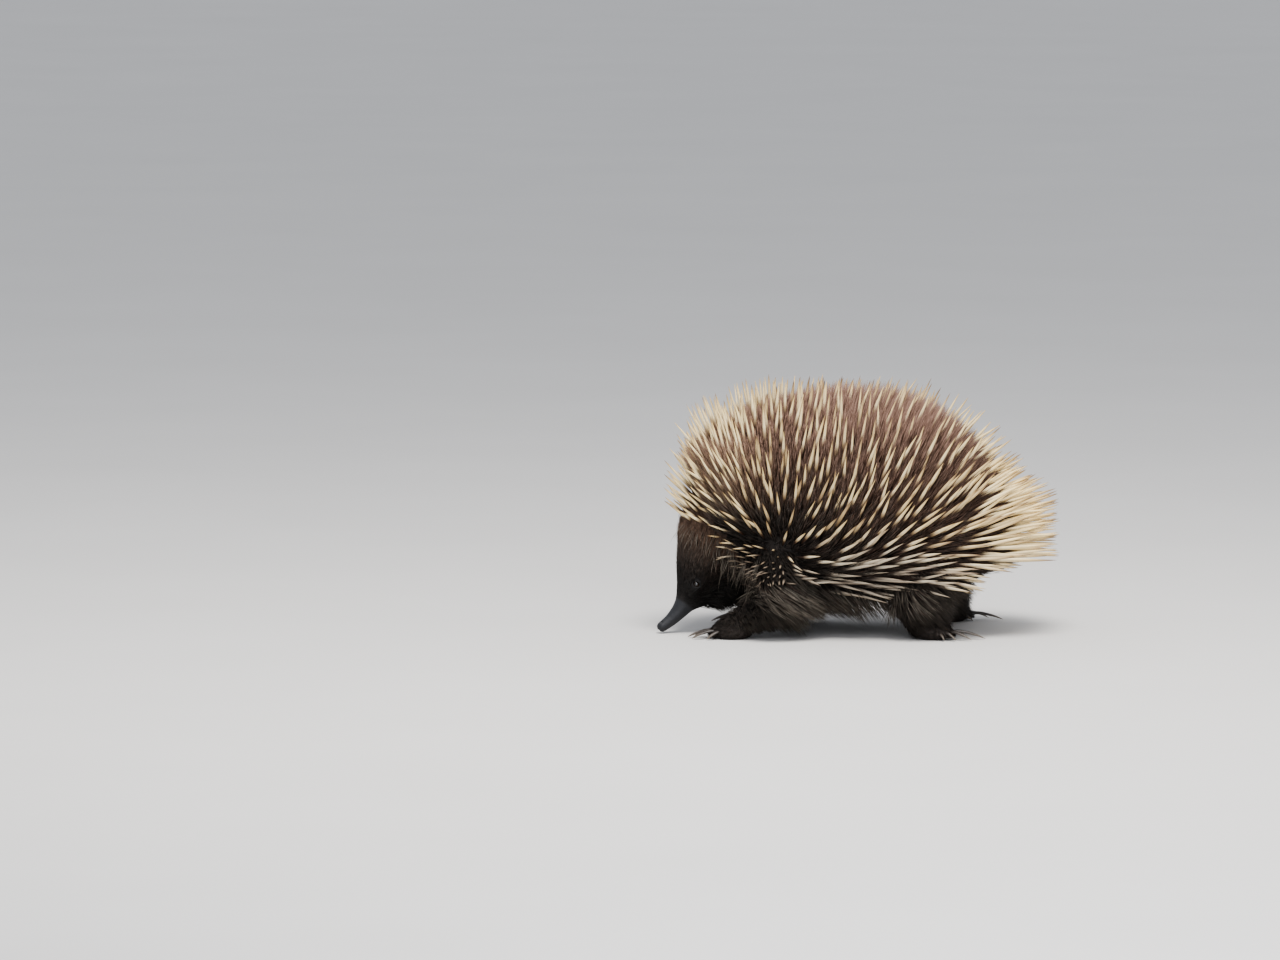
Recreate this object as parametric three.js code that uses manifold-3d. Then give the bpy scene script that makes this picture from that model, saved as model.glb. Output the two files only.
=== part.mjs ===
// Short-beaked echidna, life size, standing with its head lowered and its beak on the ground.
// Millimetres, +Z up, floor at Z = 0. The head points to -Y, the animal's left side is +X.
// The solids follow the outline out to the tips of the spines and fur.
import * as THREE from 'three';
import { mergeVertices } from 'three/addons/utils/BufferGeometryUtils.js';
import Module from 'manifold-3d';

const wasm = await Module();
wasm.setup();

// ---------------------------------------------------------------- driving sizes
const GAP = 0.35;             // clearance between neighbouring pieces
const BODY_FRONT = 192;       // crown spine tips, in front of the origin
const BODY_REAR = 203;        // tail spine tips, behind the origin
const BODY_TOP = 256;         // highest spine tips
const BODY_LOW = 30;          // lowest fringe of the flank
const BODY_HALF_WIDTH = 122;  // half of the width over the spines
const CROWN_HEIGHT = 150;     // height of the foremost crown spines
const RUMP_HEIGHT = 99;       // height of the rearmost tail spines
const WIDEST_Y = 28;          // the body is widest a little behind its middle
const WAIST = 0.36;           // widest level of a section, as a share of its height
const SECTION_POWER = 2.25;   // roundness of a section above its widest level
const FLANK_POWER = 3.0;      // and below it, where the flank drops steeply to its fringe

// the spined coat ends in front at this slanting line, and the face comes out below it: Y, Z, slope direction
const FACE_LINE = { y: -150, z: 86, back: 0.74, up: 0.67 };

const HEAD_TURN = 20;         // degrees towards the left
const HEAD_PIVOT = new THREE.Vector3(0, -122, 107);
// head and beak stations, tip to nape, before the head turns: along, height, half width, half depth
const HEAD = [
  { y: -205.5, z: 4.2, w: 5.0, d: 4.8 },    // beak tip
  { y: -191, z: 14.5, w: 6.6, d: 6.4 },   // middle of the beak
  { y: -178, z: 28.5, w: 10.6, d: 10 },   // beak base, at the hair line
  { y: -166.3, z: 47, w: 19.5, d: 18.2 }, // eyes
  { y: -152.8, z: 77, w: 33, d: 31.5 },     // cheeks and brain case
  { y: -134.5, z: 106, w: 43, d: 42 },      // back of the head
  { y: -96, z: 126, w: 44, d: 40 },         // inside the neck
];
const HAIR_LINE = 0.385;      // where the bare beak begins, as a share of the head's curve
const EYE_AT = 0.5, EYE_RADIUS = 4.3, EYE_SUNK = 2.3, EYE_FORWARD = 20;
const EAR_AT = 0.635;

const LEGS = {
  fore: {
    left: { shoulder: [54, -80, 80], elbow: [68, -84, 44], wrist: [69, -115, 20], foot: [69, -127, 8.5], heading: 185 },
    right: { shoulder: [54, -66, 80], elbow: [68, -62, 44], wrist: [69, -90, 20], foot: [69, -103, 8.5], heading: 185 },
  },
  hind: {
    left: { hip: [54, 66, 82], knee: [72, 54, 46], ankle: [71, 58, 20], foot: [74, 70, 8.5], heading: 26 },
    right: { hip: [54, 72, 82], knee: [72, 76, 46], ankle: [71, 82, 20], foot: [74, 94, 8.5], heading: 26 },
  },
};
const FORE_THICK = [31, 27, 15], HIND_THICK = [33, 27, 14];
const THROAT = { at: [0, -141, 52], size: [27, 25, 27] };   // fur under the jaw, before the head turns
const FORE_PALM = [17, 19, 11], HIND_SOLE = [15.5, 21, 11];
// digits, inner to outer: spread in degrees, reach of the toe, claw length, claw half width, claw half thickness
const FORE_DIGITS = [
  { spread: -38, reach: 14, claw: 18, wide: 2.9, thick: 2.0 },
  { spread: -18, reach: 18, claw: 25, wide: 3.5, thick: 2.2 },
  { spread: 0, reach: 19, claw: 27, wide: 3.7, thick: 2.3 },
  { spread: 18, reach: 18, claw: 24, wide: 3.5, thick: 2.2 },
  { spread: 38, reach: 14, claw: 17, wide: 2.9, thick: 2.0 },
];
const HIND_DIGITS = [
  { spread: -46, reach: 12, claw: 13, wide: 2.3, thick: 1.9 },
  { spread: -20, reach: 20, claw: 35, wide: 2.6, thick: 2.3 },
  { spread: 0, reach: 20, claw: 25, wide: 2.5, thick: 2.1 },
  { spread: 18, reach: 18, claw: 16, wide: 2.3, thick: 1.9 },
  { spread: 36, reach: 15, claw: 12, wide: 2.1, thick: 1.8 },
];

// ---------------------------------------------------------------- shape helpers
const clamp = (v, lo, hi) => Math.min(hi, Math.max(lo, v));
const round = (u, power) => Math.pow(Math.max(0, 1 - Math.pow(Math.min(1, Math.abs(u)), power)), 1 / power);
const power = (v, p) => Math.sign(v) * Math.pow(Math.abs(v), p);

// A sphere whose vertices are carried to the surface that place() gives, poles on +Y and -Y.
function shell(around, along, place) {
  const g = new THREE.SphereGeometry(1, around, along);
  const p = g.getAttribute('position'), v = new THREE.Vector3();
  for (let i = 0; i < p.count; i++) {
    v.fromBufferAttribute(p, i);
    const r = Math.hypot(v.x, v.z);
    const side = r < 1e-6 ? new THREE.Vector2(0, 0) : new THREE.Vector2(v.x / r, v.z / r);
    place(v, side, r < 1e-6);
    p.setXYZ(i, v.x, v.y, v.z);
  }
  return g;
}

// A closed three.js geometry as a solid that can be joined and cut.
function solid(g) {
  g.deleteAttribute('normal');
  g.deleteAttribute('uv');
  const m = mergeVertices(g, 1e-4);
  return new wasm.Manifold(new wasm.Mesh({
    numProp: 3,
    vertProperties: new Float32Array(m.getAttribute('position').array),
    triVerts: new Uint32Array(m.index.array),
  }));
}

// A rounded limb along a smooth curve. size(t) gives the half width and half depth at t.
function limb(points, size, around, along, up = new THREE.Vector3(0, 0, 1)) {
  const curve = new THREE.CatmullRomCurve3(points, false, 'catmullrom', 0.5);
  return solid(shell(around, along, (v, side, pole) => {
    const t = clamp((1 + v.y) / 2, 0, 1);
    const c = curve.getPoint(t), along1 = curve.getTangent(t);
    const n = new THREE.Vector3().crossVectors(along1, up).normalize();
    const b = new THREE.Vector3().crossVectors(n, along1).normalize();
    const [w, d] = pole ? [0, 0] : size(t);
    v.copy(c).addScaledVector(n, w * side.x).addScaledVector(b, d * side.y);
  }));
}

// Smooth scalar track through evenly spaced values.
function track(values) {
  const c = new THREE.CatmullRomCurve3(values.map((x, i) => new THREE.Vector3(x, i, 0)), false, 'catmullrom', 0.5);
  return (t) => c.getPoint(clamp(t, 0, 1)).x;
}

function ball(centre, radii, around, along, turn = 0) {
  const g = new THREE.SphereGeometry(1, around, along);
  g.applyMatrix4(new THREE.Matrix4().compose(
    new THREE.Vector3(...centre),
    new THREE.Quaternion().setFromAxisAngle(new THREE.Vector3(0, 0, 1), THREE.MathUtils.degToRad(turn)),
    new THREE.Vector3(...radii)));
  return solid(g);
}

// Everything on the far side of a plane: a large block whose face lies at point, facing normal.
function behind(point, normal) {
  const s = 900;
  const g = new THREE.BoxGeometry(s, s, s);
  g.translate(0, 0, -s / 2);
  g.applyQuaternion(new THREE.Quaternion().setFromUnitVectors(new THREE.Vector3(0, 0, 1), normal.clone().normalize()));
  g.translate(point.x, point.y, point.z);
  return solid(g);
}

// ---------------------------------------------------------------- body outline
function bodySizes(y, grow) {
  const ahead = y < 0;
  const len = (ahead ? BODY_FRONT : BODY_REAR) + grow;
  const u = y / len;
  const endHeight = ahead ? CROWN_HEIGHT : RUMP_HEIGHT;
  const top = endHeight + (BODY_TOP + grow - endHeight) * round(u, ahead ? 2.65 : 1.7);
  const low = endHeight - (endHeight - BODY_LOW + grow) * round(u, ahead ? 2.2 : 2.0);
  const reach = (y < WIDEST_Y ? BODY_FRONT + WIDEST_Y : BODY_REAR - WIDEST_Y) + grow;
  const half = (BODY_HALF_WIDTH + grow) * round((y - WIDEST_Y) / reach, y < WIDEST_Y ? 1.7 : 2.0);
  return { top, low, half };
}

function body(grow, around = 36, along = 24) {
  return solid(shell(around, along, (v, side, pole) => {
    const y = v.y * ((v.y < 0 ? BODY_FRONT : BODY_REAR) + grow);
    const s = bodySizes(y, grow);
    const waist = s.low + (s.top - s.low) * WAIST;
    const e = 2 / (side.y > 0 ? SECTION_POWER : FLANK_POWER);
    v.y = y;
    v.x = pole ? 0 : s.half * power(side.x, e);
    v.z = pole ? waist : waist + (side.y > 0 ? s.top - waist : waist - s.low) * power(side.y, e);
  }));
}

// ---------------------------------------------------------------- head and beak
const turnHead = (p) => p.clone().sub(HEAD_PIVOT)
  .applyAxisAngle(new THREE.Vector3(0, 0, 1), THREE.MathUtils.degToRad(HEAD_TURN)).add(HEAD_PIVOT);
const headPoints = HEAD.map((s) => turnHead(new THREE.Vector3(0, s.y, s.z)));
const headCurve = new THREE.CatmullRomCurve3(headPoints, false, 'catmullrom', 0.5);
const headWidth = track(HEAD.map((s) => s.w)), headDepth = track(HEAD.map((s) => s.d));

// The head's own directions at t: along it towards the nape, to its side and out of its forehead.
function headFrame(t) {
  const tangent = headCurve.getTangent(t);
  const side = turnHead(HEAD_PIVOT.clone().add(new THREE.Vector3(1, 0, 0))).sub(HEAD_PIVOT);
  const brow = new THREE.Vector3().crossVectors(side, tangent).normalize();
  return { centre: headCurve.getPoint(t), tangent, side, brow };
}

function headSolid(grow) {
  return solid(shell(20, 20, (v, side, pole) => {
    const t = clamp((1 + v.y) / 2, 0, 1);
    const f = headFrame(t);
    const cap = round((t - 0.5) * 2, 14);
    const w = pole ? 0 : headWidth(t) * cap + grow, d = pole ? 0 : headDepth(t) * cap + grow;
    v.copy(f.centre).addScaledVector(f.side, w * side.x).addScaledVector(f.brow, d * side.y);
  }));
}

// ---------------------------------------------------------------- feet
function digitPath(foot, sign, d, from, length, rise, drop) {
  const a = THREE.MathUtils.degToRad(foot.heading - 0 + d.spread);
  const dir = new THREE.Vector3(sign * Math.sin(a), Math.cos(a), 0);
  const c = new THREE.Vector3(sign * foot.foot[0], foot.foot[1], 0);
  const at = (reach, z) => c.clone().addScaledVector(dir, reach).setZ(z);
  return [at(from, rise), at(from + length * 0.34, rise + 1.2), at(from + length * 0.7, rise * 0.62 + drop), at(from + length, drop)];
}

function footSolid(foot, sign, palm, digits, grow = 0) {
  let s = ball([sign * foot.foot[0], foot.foot[1], foot.foot[2]], palm.map((r) => r + grow), 12, 8, -sign * foot.heading);
  for (const d of digits) {
    const path = digitPath(foot, sign, d, 2, d.reach - 1, 7.4, 5.6);
    const r = d.wide + 1.9 + grow;
    s = s.add(limb(path, (t) => [r * round((t - 0.5) * 2, 5), (r - 0.4) * round((t - 0.5) * 2, 5)], 8, 5));
  }
  return s;
}

function clawSolid(foot, sign, d) {
  const path = digitPath(foot, sign, d, d.reach - 5, d.claw + 4, 6.6, 1.1);
  const swell = (t) => Math.sqrt(clamp(t / 0.1, 0, 1)) * Math.pow(1 - t, 0.55);
  return limb(path, (t) => [d.wide * swell(t), d.thick * swell(t)], 6, 8);
}

// ---------------------------------------------------------------- build the solids
const floor = behind(new THREE.Vector3(0, 0, 0), new THREE.Vector3(0, 0, 1));   // the space under the floor
const faceNormal = new THREE.Vector3(0, -FACE_LINE.back, -FACE_LINE.up).normalize();
const coated = (grow) => body(grow).intersect(
  behind(new THREE.Vector3(0, FACE_LINE.y, FACE_LINE.z).addScaledVector(faceNormal, grow), faceNormal));
const whole = coated(0), wholeGrown = coated(GAP);

// thin cuts part the neck and the tail from the trunk
const neckCut = { point: new THREE.Vector3(0, -122, 130), normal: new THREE.Vector3(0, -1, 0.16) };
const tailCut = { point: new THREE.Vector3(0, 128, 110), normal: new THREE.Vector3(0, 1, -0.3) };
const shift = (cut, by) => cut.point.clone().addScaledVector(cut.normal.clone().normalize(), by);
const inside = (cut, by) => behind(shift(cut, by), cut.normal);

const throatAt = turnHead(new THREE.Vector3(...THROAT.at)).toArray();
const throat = (grow) => ball(throatAt, THROAT.size.map((r) => r + grow), 14, 9, HEAD_TURN);
const head0 = headSolid(0).add(throat(0)), headGrown = headSolid(GAP).add(throat(GAP));
const trunk = whole.intersect(inside(neckCut, -GAP / 2)).intersect(inside(tailCut, -GAP / 2));
const neck = whole.subtract(inside(neckCut, GAP / 2));
const tail = whole.subtract(inside(tailCut, GAP / 2));

const beakFrame = headFrame(HAIR_LINE);
const beakCut = { point: beakFrame.centre, normal: beakFrame.tangent };
const eyes = {}, ears = {};
let headFlesh = head0.subtract(wholeGrown).subtract(inside(beakCut, GAP / 2));
const beak = head0.intersect(inside(beakCut, -GAP / 2)).subtract(floor);

for (const [name, sign] of [['left', 1], ['right', -1]]) {
  const f = headFrame(EYE_AT);
  const lean = THREE.MathUtils.degToRad(EYE_FORWARD);
  const out = f.side.clone().multiplyScalar(sign * Math.cos(lean)).addScaledVector(f.brow, Math.sin(lean));
  const c = f.centre.clone().addScaledVector(out, headWidth(EYE_AT) - EYE_SUNK);
  eyes[name] = ball(c.toArray(), [EYE_RADIUS, EYE_RADIUS, EYE_RADIUS], 12, 8);
  headFlesh = headFlesh.subtract(ball(c.toArray(), [1, 1, 1].map(() => EYE_RADIUS + GAP), 12, 8));

  // the ear is a low upright fold behind the eye
  const fold = [-0.045, 0, 0.045].map((dt, i) => {
    const e = headFrame(EAR_AT + dt);
    return e.centre.clone().addScaledVector(e.side, sign * (headWidth(EAR_AT + dt) + (i === 1 ? 0.8 : -1.5)));
  });
  ears[name] = limb(fold, (t) => [4.2 * round((t - 0.5) * 2, 2.4), 3.4 * round((t - 0.5) * 2, 2.4)], 8, 7, f.brow)
    .subtract(headGrown).subtract(wholeGrown);
}

// ---------------------------------------------------------------- looks and assembly
const look = (color, roughness, metalness = 0) => new THREE.MeshStandardMaterial({ color, roughness, metalness });
const LOOKS = {
  spined: look(0x6b4f3c, 0.85),
  crown: look(0xa08a66, 0.85),
  tail: look(0xc4ab80, 0.8),
  face: look(0x3a3028, 0.9),
  beak: look(0x2b2b2e, 0.5),
  leg: look(0x3b332c, 0.9),
  foot: look(0x2e2823, 0.75),
  claw: look(0x4a4038, 0.45),
  eye: look(0x0a0808, 0.08),
};

const echidna = new THREE.Group();
echidna.name = 'echidna';

function piece(name, made, material) {
  const m = made.getMesh();
  const g = new THREE.BufferGeometry();
  g.setAttribute('position', new THREE.BufferAttribute(new Float32Array(m.vertProperties), 3));
  g.setIndex(new THREE.BufferAttribute(new Uint32Array(m.triVerts), 1));
  g.computeVertexNormals();
  const mesh = new THREE.Mesh(g, material);
  mesh.name = name;
  echidna.add(mesh);
  return mesh;
}

piece('trunk', trunk, LOOKS.spined);
piece('neck', neck, LOOKS.crown);
piece('tail', tail, LOOKS.tail);
piece('head', headFlesh, LOOKS.face);
piece('beak', beak, LOOKS.beak);
for (const name of ['left', 'right']) {
  piece('eye_' + name, eyes[name], LOOKS.eye);
  piece('ear_' + name, ears[name], LOOKS.face);
}

for (const [name, sign] of [['left', 1], ['right', -1]]) {
  for (const pair of ['fore', 'hind']) {
    const L = LEGS[pair][name], fore = pair === 'fore';
    const at = (p) => new THREE.Vector3(sign * p[0], p[1], p[2]);
    const joints = fore ? [L.shoulder, L.elbow, L.wrist] : [L.hip, L.knee, L.ankle];
    const thick = fore ? FORE_THICK : HIND_THICK;
    const end = new THREE.Vector3(sign * L.foot[0], L.foot[1], 12);
    const girth = track([thick[0], thick[1], thick[2], thick[2] - 1]);
    const palm = fore ? FORE_PALM : HIND_SOLE, digits = fore ? FORE_DIGITS : HIND_DIGITS;
    let leg = limb([...joints.map(at), end], (t) => {
      const r = girth(t) * round((t - 0.5) * 2, 6);
      return [r, r];
    }, 12, 9);
    // long hair behind the elbow and the knee sweeps back and down
    leg = leg.add(fore
      ? ball([sign * 72, joints[1][1] + 20, 37], [17, 38, 22], 12, 8, -sign * 4)
      : ball([sign * 73, joints[1][1] + 10, 39], [18, 32, 19], 12, 8, sign * 6));
    const foot = footSolid(L, sign, palm, digits).subtract(floor);
    const footGrown = footSolid(L, sign, palm, digits, GAP);
    leg = leg.subtract(wholeGrown).subtract(footGrown).subtract(headGrown).subtract(floor);
    const whole = leg.decompose().sort((a, b) => b.volume() - a.volume());
    piece(pair + 'leg_' + name, whole[0], LOOKS.leg);
    piece(pair + 'foot_' + name, foot, LOOKS.foot);
    digits.forEach((d, i) => {
      const claw = clawSolid(L, sign, d).subtract(footGrown).subtract(floor);
      const bits = claw.decompose().sort((a, b) => b.volume() - a.volume());
      piece(`${pair}claw_${name}_${i + 1}`, bits[0], LOOKS.claw);
    });
  }
}

export default echidna;
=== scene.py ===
# Short-beaked echidna, life size: one seamless skin, eyes, claws, spines and fur.
# Shapes are worked out in millimetres, in the model's own frame, and written in metres.
import math

import bpy
import numpy as np
import openvdb
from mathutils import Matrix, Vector
from mathutils.kdtree import KDTree


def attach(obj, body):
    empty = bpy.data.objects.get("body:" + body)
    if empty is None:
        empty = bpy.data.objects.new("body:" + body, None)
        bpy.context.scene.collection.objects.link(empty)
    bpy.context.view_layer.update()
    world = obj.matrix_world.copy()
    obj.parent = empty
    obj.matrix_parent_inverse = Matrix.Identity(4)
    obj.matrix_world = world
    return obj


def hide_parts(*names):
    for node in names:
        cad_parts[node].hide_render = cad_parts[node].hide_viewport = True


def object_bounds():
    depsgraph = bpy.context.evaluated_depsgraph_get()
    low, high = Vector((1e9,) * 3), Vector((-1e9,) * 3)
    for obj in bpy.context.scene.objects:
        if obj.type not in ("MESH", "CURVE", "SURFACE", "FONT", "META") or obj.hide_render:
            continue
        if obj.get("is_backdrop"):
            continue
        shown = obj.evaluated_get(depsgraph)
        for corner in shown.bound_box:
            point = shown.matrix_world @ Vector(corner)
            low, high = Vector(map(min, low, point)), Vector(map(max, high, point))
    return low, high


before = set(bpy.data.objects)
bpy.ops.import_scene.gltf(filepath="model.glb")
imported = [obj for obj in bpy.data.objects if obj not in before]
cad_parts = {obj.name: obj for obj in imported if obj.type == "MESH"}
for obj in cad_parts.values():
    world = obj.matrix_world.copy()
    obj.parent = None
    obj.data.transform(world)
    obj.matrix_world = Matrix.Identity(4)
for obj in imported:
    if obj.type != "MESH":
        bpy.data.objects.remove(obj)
CAD_LOW, CAD_HIGH = (list(c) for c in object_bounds())
MM = 0.001
rng = np.random.default_rng(20817)

# ------------------------------------------------------------------ sizes, mm
HEAD_TURN, HEAD_PIVOT = 20.0, np.array([0.0, -122.0, 107.0])
#        tip     beak    base    eyes    cheeks  nape    neck
HEAD_Y = [-205.5, -191.0, -178.0, -166.3, -152.8, -134.5, -96.0]
HEAD_Z = [4.2, 14.5, 28.5, 47.0, 77.0, 106.0, 126.0]
SOLID_W = [5.0, 6.6, 10.6, 19.5, 33.0, 43.0, 44.0]
SKIN_R = [5.0, 6.5, 10.0, 17.8, 28.2, 37.5, 38.0]
HAIR_LINE, EYE_AT, EAR_AT = 0.352, 0.5, 0.635
EYE_R, EYE_SUNK, EYE_FORWARD = 4.3, 2.3, math.radians(20)
WHORL_Y, WHORL_Z = -79.0, 84.0        # the spines radiate from the shoulder
DARK_Y, DARK_Z = -92.0, 67.0        # and are short and dark round here
EDGE_Z, EDGE_Y = [40, 56, 75, 96, 107, 116], [-95, -102, -115, -131, -151, -182]   # the spines' edge on the face

LEGS = {
    "foreleg_left": (1, [(54, -80, 80), (68, -84, 44), (69, -115, 20), (69, -127, 12)], 185),
    "foreleg_right": (-1, [(54, -66, 80), (68, -62, 44), (69, -90, 20), (69, -103, 12)], 185),
    "hindleg_left": (1, [(54, 66, 82), (72, 54, 46), (71, 58, 20), (74, 70, 12)], 26),
    "hindleg_right": (-1, [(54, 72, 82), (72, 76, 46), (71, 82, 20), (74, 94, 12)], 26),
}
LEG_R = {"fore": [25, 19.5, 12.5, 11.5], "hind": [26, 21, 12.5, 11]}
PALM = {"fore": (16.3, 18.2, 10.3), "hind": (14.8, 20.2, 10.3)}
# spread, reach, claw, half width, half thickness
DIGITS = {
    "fore": [(-38, 14, 18, 2.9, 2.0), (-18, 18, 25, 3.5, 2.2), (0, 19, 27, 3.7, 2.3), (18, 18, 24, 3.5, 2.2), (38, 14, 17, 2.9, 2.0)],
    "hind": [(-46, 12, 13, 2.3, 1.9), (-20, 20, 35, 2.6, 2.3), (0, 20, 25, 2.5, 2.1), (18, 18, 16, 2.3, 1.9), (36, 15, 12, 2.1, 1.8)],
}


# ------------------------------------------------------------------ small tools
def catmull(points, t):
    p = np.asarray(points, float)
    p = p[:, None] if p.ndim == 1 else p
    p = np.vstack([2 * p[0] - p[1], p, 2 * p[-1] - p[-2]])
    n = len(p) - 3
    u = np.clip(np.atleast_1d(np.asarray(t, float)), 0, 1) * n
    i = np.minimum(u.astype(int), n - 1)
    f = (u - i)[:, None]
    a, b, c, d = p[i], p[i + 1], p[i + 2], p[i + 3]
    m, k = 0.5 * (c - a), 0.5 * (d - b)
    return b + m * f + (3 * (c - b) - 2 * m - k) * f**2 + (2 * (b - c) + m + k) * f**3


def track(values, t):
    return catmull(values, t)[:, 0]


def unit(v):
    return v / np.maximum(np.linalg.norm(v, axis=-1, keepdims=True), 1e-9)


def dot(a, b):
    return (a * b).sum(-1)


def step(lo, hi, x):
    t = np.clip((x - lo) / (hi - lo), 0, 1)
    return t * t * (3 - 2 * t)


def turn_head(p):
    a = math.radians(HEAD_TURN)
    q = np.asarray(p, float) - HEAD_PIVOT
    x = q[..., 0] * math.cos(a) - q[..., 1] * math.sin(a)
    y = q[..., 0] * math.sin(a) + q[..., 1] * math.cos(a)
    return np.stack([x, y, q[..., 2]], -1) + HEAD_PIVOT


HEAD_POINTS = turn_head(np.stack([np.zeros(7), HEAD_Y, HEAD_Z], 1))
HEAD_SIDE = turn_head(HEAD_PIVOT + [1, 0, 0]) - HEAD_PIVOT
T_FINE = np.linspace(0, 1, 241)
HEAD_FINE = catmull(HEAD_POINTS, T_FINE)


def head_frame(t):
    c = catmull(HEAD_POINTS, t)[0]
    tangent = unit(catmull(HEAD_POINTS, t + 5e-4)[0] - catmull(HEAD_POINTS, t - 5e-4)[0])
    return c, tangent, unit(np.cross(HEAD_SIDE, tangent))


# ------------------------------------------------------------------ fields (signed, mm)
def chain(points, radii):
    def f(x, y, z):
        best = None
        for a, b, ra, rb in zip(points[:-1], points[1:], radii[:-1], radii[1:]):
            ab = b - a
            px, py, pz = x - a[0], y - a[1], z - a[2]
            h = np.clip((px * ab[0] + py * ab[1] + pz * ab[2]) / (ab @ ab), 0, 1)
            d = np.sqrt((px - ab[0] * h) ** 2 + (py - ab[1] * h) ** 2 + (pz - ab[2] * h) ** 2) - (ra + (rb - ra) * h)
            best = d if best is None else np.minimum(best, d)
        return best

    pts, r = np.asarray(points), np.asarray(radii)
    return f, (pts - r[:, None]).min(0), (pts + r[:, None]).max(0)


def oval(centre, axes, sizes):
    """An ellipsoid with its own three directions."""
    c, m, r = np.asarray(centre, float), np.asarray(axes, float), np.asarray(sizes, float)

    def f(x, y, z):
        p = [x - c[0], y - c[1], z - c[2]]
        q = [p[0] * a[0] + p[1] * a[1] + p[2] * a[2] for a in m]
        k0 = np.sqrt(sum((v / s) ** 2 for v, s in zip(q, r)))
        k1 = np.sqrt(sum((v / s**2) ** 2 for v, s in zip(q, r)))
        return k0 * (k0 - 1) / np.maximum(k1, 1e-6)

    reach = np.abs(m.T * r).sum(1)
    return f, c - reach, c + reach


BODY_LONG = (156.0, 138.0)
KNOTS = [-150, -75, 0, 70, 139]
CENTRE = np.polyfit(KNOTS, [140, 127, 114, 101, 85], 3)
UP = np.polyfit(KNOTS, [88, 93, 98, 97, 88], 3)
DOWN = np.polyfit(KNOTS, [80, 88, 78, 65, 46], 3)


def body_level(x, y, z):
    """1 on the skin of the trunk, less inside it."""
    front = y < 0
    u = np.abs(y) / np.where(front, *BODY_LONG)
    yc = np.clip(y, -160, 150)
    c, up, down = np.polyval(CENTRE, yc), np.polyval(UP, yc), np.polyval(DOWN, yc)
    wide = 90 * (1 - 0.10 * np.clip((28 - y) / 180, 0, 1) ** 1.5)
    above = z > c
    p = np.where(above, 2.2, 3.1)
    q = np.where(front, 2.6, 2.4)
    section = ((np.abs(x) / wide) ** p + (np.abs(z - c) / np.where(above, up, down)) ** p) ** (1 / p)
    return (section**q + u**q) ** (1 / q)


def body_distance(x, y, z, h=0.5):
    f = body_level(x, y, z)
    gx = (body_level(x + h, y, z) - body_level(x - h, y, z)) / (2 * h)
    gy = (body_level(x, y + h, z) - body_level(x, y - h, z)) / (2 * h)
    gz = (body_level(x, y, z + h) - body_level(x, y, z - h)) / (2 * h)
    return (f - 1) / np.maximum(np.sqrt(gx**2 + gy**2 + gz**2), 1e-3)


def axis(lo, hi, stops):
    """Sample places along one axis, closer together where the stops say."""
    fine = np.linspace(lo, hi, 4001)
    gap = np.interp(fine, [a for a, _ in stops], [b for _, b in stops])
    run = np.concatenate([[0], np.cumsum(0.5 * (1 / gap[1:] + 1 / gap[:-1]) * np.diff(fine))])
    n = int(math.ceil(run[-1]))
    return np.interp(np.arange(n + 1) * run[-1] / n, run, fine)


AX = axis(-108, 108, [(-108, 2.0), (-92, 1.35), (-50, 1.35), (-36, 1.0), (50, 1.0), (60, 1.35), (92, 1.35), (108, 2.0)])
AY = axis(-208, 148, [(-208, 0.75), (-172, 0.75), (-150, 0.95), (-138, 1.25), (-110, 1.4), (-85, 1.9), (30, 2.2), (50, 1.5), (122, 1.5), (140, 2.2)])
AZ = axis(-3, 216, [(-3, 0.8), (24, 0.85), (56, 0.95), (80, 1.5), (110, 2.2), (216, 2.6)])
GX, GY, GZ = AX[:, None, None], AY[None, :, None], AZ[None, None, :]


def inside_box(lo, hi, pad):
    cut = []
    for a, l, h in zip((AX, AY, AZ), lo, hi):
        i, j = np.searchsorted(a, l - pad), np.searchsorted(a, h + pad)
        cut.append(slice(max(0, i), min(len(a), j + 1)))
    return tuple(cut)


def join(field, shape, k):
    f, lo, hi = shape
    s = inside_box(lo, hi, k + 4)
    d = f(AX[s[0]][:, None, None], AY[s[1]][None, :, None], AZ[s[2]][None, None, :])
    old = field[s]
    h = np.maximum(k - np.abs(old - d), 0) / k
    field[s] = np.minimum(old, d) - h * h * k / 4


def carve(field, shape, k):
    f, lo, hi = shape
    s = inside_box(lo, hi, k + 4)
    d = -f(AX[s[0]][:, None, None], AY[s[1]][None, :, None], AZ[s[2]][None, None, :])
    old = field[s]
    h = np.maximum(k - np.abs(old - d), 0) / k
    field[s] = np.maximum(old, d) + h * h * k / 4


def digit_path(sign, foot, heading, spread, start, length, rise, drop):
    a = math.radians(heading + spread)
    way = np.array([sign * math.sin(a), math.cos(a), 0.0])
    c = np.array([sign * foot[0], foot[1], 0.0])
    return np.array([c + way * (start + length * k) + [0, 0, z] for k, z in ((0, rise), (0.34, rise + 1.2), (0.7, rise * 0.62 + drop), (1, drop))])


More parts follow.
